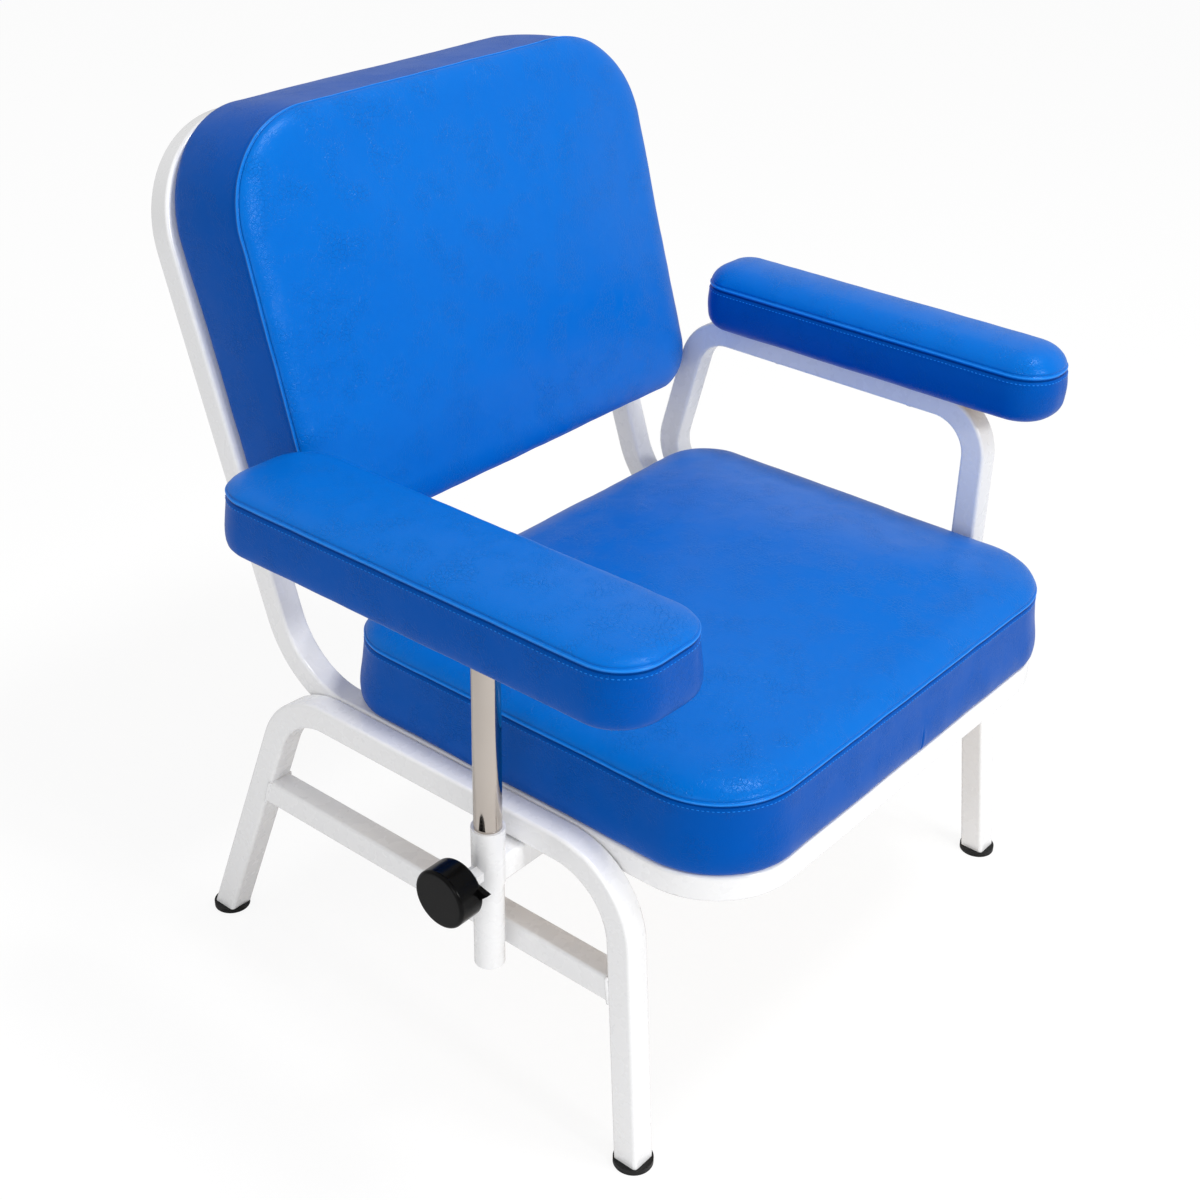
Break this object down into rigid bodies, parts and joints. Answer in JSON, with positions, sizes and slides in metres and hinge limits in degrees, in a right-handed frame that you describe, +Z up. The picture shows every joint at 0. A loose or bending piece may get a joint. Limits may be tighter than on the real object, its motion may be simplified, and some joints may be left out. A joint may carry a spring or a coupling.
{
  "type": "phlebotomy chair",
  "caption": "Blood-drawing chair: bent square-tube frame, thick padded seat and back, fixed padded arm, and a long padded arm on a post that slides and swivels in a clamp.",
  "frame": {"origin": "middle of the chair's plan box, on the floor", "axes": "+Z up, the chair faces -Y, +X is the seated patient's left"},
  "size_m": [0.8376, 0.8076, 0.9574],
  "materials": {
    "white_powder_coat": "satin",
    "blue_vinyl": "satin",
    "plywood": "matte",
    "zinc_steel": "satin",
    "chrome_plate": "polished",
    "black_plastic": "satin",
    "black_rubber": "matte"
  },
  "bodies": {
    "chair_frame": {"seat_frame": "white_powder_coat", "back_frame": "white_powder_coat", "right_leg_arch": "white_powder_coat", "left_leg_arch": "white_powder_coat", "right_lower_rail": "white_powder_coat", "left_lower_rail": "white_powder_coat", "rear_cross_rail": "white_powder_coat", "seat_tabs": "white_powder_coat", "back_tabs": "white_powder_coat", "fixed_arm_tube": "white_powder_coat", "fixed_arm_rear_tube": "white_powder_coat", "arm_bracket": "white_powder_coat", "clamp_collar": "white_powder_coat", "guide_tube": "white_powder_coat", "clamp_nut": "white_powder_coat", "left_arm_screws": "zinc_steel", "left_arm_board": "plywood", "left_arm_pad": "blue_vinyl", "seat_screws": "zinc_steel", "seat_board": "plywood", "seat_cushion": "blue_vinyl", "back_screws": "zinc_steel", "back_board": "plywood", "back_cushion": "blue_vinyl", "front_right_foot": "black_rubber", "front_left_foot": "black_rubber", "rear_right_foot": "black_rubber", "rear_left_foot": "black_rubber"},
    "post_glide": {"post_end_plug": "black_plastic"},
    "swing_arm": {"arm_post": "chrome_plate", "arm_plate": "white_powder_coat", "right_arm_screws": "zinc_steel", "right_arm_board": "plywood", "right_arm_pad": "blue_vinyl"},
    "clamp_tip": {"clamp_tip": "black_plastic"},
    "clamp_screw": {"clamp_stud": "zinc_steel", "clamp_knob": "black_plastic"}
  },
  "joints": [
    {"name": "armrest_lift", "type": "slide", "parent": "chair_frame", "child": "post_glide", "axis": [0, 0, 1], "range_m": [-0.1, 0.08]},
    {"name": "armrest_swivel", "type": "hinge", "parent": "post_glide", "child": "swing_arm", "pos_m": [-0.34783, -0.15583, 0.36], "axis": [0, 0, 1], "range_deg": [0, 180]},
    {"name": "clamp_travel", "type": "slide", "parent": "chair_frame", "child": "clamp_tip", "axis": [-1, 0, 0], "range_m": [0, 0.003]},
    {"name": "knob_turn", "type": "hinge", "parent": "clamp_tip", "child": "clamp_screw", "pos_m": [-0.34783, -0.15583, 0.31601], "axis": [-1, 0, 0], "range_deg": [0, 720]}
  ],
  "couplings": [
    {"joint": "clamp_travel", "follows": "knob_turn", "m_per_rad": 0.0002387}
  ]
}
